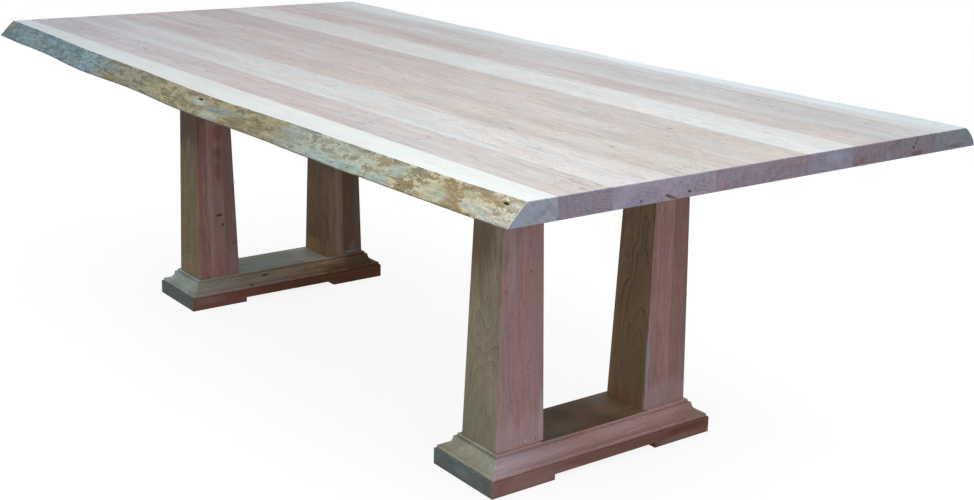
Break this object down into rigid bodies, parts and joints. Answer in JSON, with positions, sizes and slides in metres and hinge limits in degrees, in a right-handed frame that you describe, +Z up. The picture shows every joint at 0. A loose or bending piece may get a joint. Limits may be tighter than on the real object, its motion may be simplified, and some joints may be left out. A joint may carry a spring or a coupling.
{
  "type": "double pedestal table",
  "caption": "Dining table with a glued live-edge board top on two pedestals, each a pair of tapered square columns on a moulded plinth with feet.",
  "frame": {"origin": "on the floor under the middle of the tabletop's overall box", "axes": "+X along the tabletop's length towards the near pedestal, +Y across it towards the back live edge, +Z up"},
  "size_m": [2.438, 1.2762, 0.762],
  "materials": {
    "front_live_edge_board": "sanded cherry, glued edge to edge",
    "top_board_2": "sanded cherry, glued edge to edge",
    "top_board_3": "sanded cherry, glued edge to edge",
    "top_board_4": "sanded cherry, glued edge to edge",
    "top_board_5": "sanded cherry, glued edge to edge",
    "top_board_6": "sanded cherry, glued edge to edge",
    "top_board_7": "sanded cherry, glued edge to edge",
    "top_board_8": "sanded cherry, glued edge to edge",
    "top_board_9": "sanded cherry, glued edge to edge",
    "back_live_edge_board": "sanded cherry, glued edge to edge",
    "near_plinth": "sanded cherry",
    "near_moulded_cap": "sanded cherry, moulded edge",
    "near_front_column_stave_1": "sanded cherry",
    "near_front_column_stave_2": "sanded cherry",
    "near_back_column_stave_1": "sanded cherry",
    "near_back_column_stave_2": "sanded cherry",
    "near_top_cleat": "sanded cherry",
    "zinc_plated_steel": "zinc-plated steel",
    "far_plinth": "sanded cherry",
    "far_moulded_cap": "sanded cherry, moulded edge",
    "far_front_column_stave_1": "sanded cherry",
    "far_front_column_stave_2": "sanded cherry",
    "far_front_column_stave_3": "sanded cherry",
    "far_back_column_stave_1": "sanded cherry",
    "far_back_column_stave_2": "sanded cherry",
    "far_top_cleat": "sanded cherry"
  },
  "bodies": {
    "root": {"front_live_edge_board": "front_live_edge_board", "top_board_2": "top_board_2", "top_board_3": "top_board_3", "top_board_4": "top_board_4", "top_board_5": "top_board_5", "top_board_6": "top_board_6", "top_board_7": "top_board_7", "top_board_8": "top_board_8", "top_board_9": "top_board_9", "back_live_edge_board": "back_live_edge_board", "near_plinth": "near_plinth", "near_moulded_cap": "near_moulded_cap", "near_front_column_stave_1": "near_front_column_stave_1", "near_front_column_stave_2": "near_front_column_stave_2", "near_back_column_stave_1": "near_back_column_stave_1", "near_back_column_stave_2": "near_back_column_stave_2", "near_top_cleat": "near_top_cleat", "near_cleat_screws": "zinc_plated_steel", "near_cleat_washers": "zinc_plated_steel", "near_column_bolts": "zinc_plated_steel", "near_bolt_washers": "zinc_plated_steel", "far_plinth": "far_plinth", "far_moulded_cap": "far_moulded_cap", "far_front_column_stave_1": "far_front_column_stave_1", "far_front_column_stave_2": "far_front_column_stave_2", "far_front_column_stave_3": "far_front_column_stave_3", "far_back_column_stave_1": "far_back_column_stave_1", "far_back_column_stave_2": "far_back_column_stave_2", "far_top_cleat": "far_top_cleat", "far_cleat_screws": "zinc_plated_steel", "far_cleat_washers": "zinc_plated_steel", "far_column_bolts": "zinc_plated_steel", "far_bolt_washers": "zinc_plated_steel"}
  },
  "joints": []
}
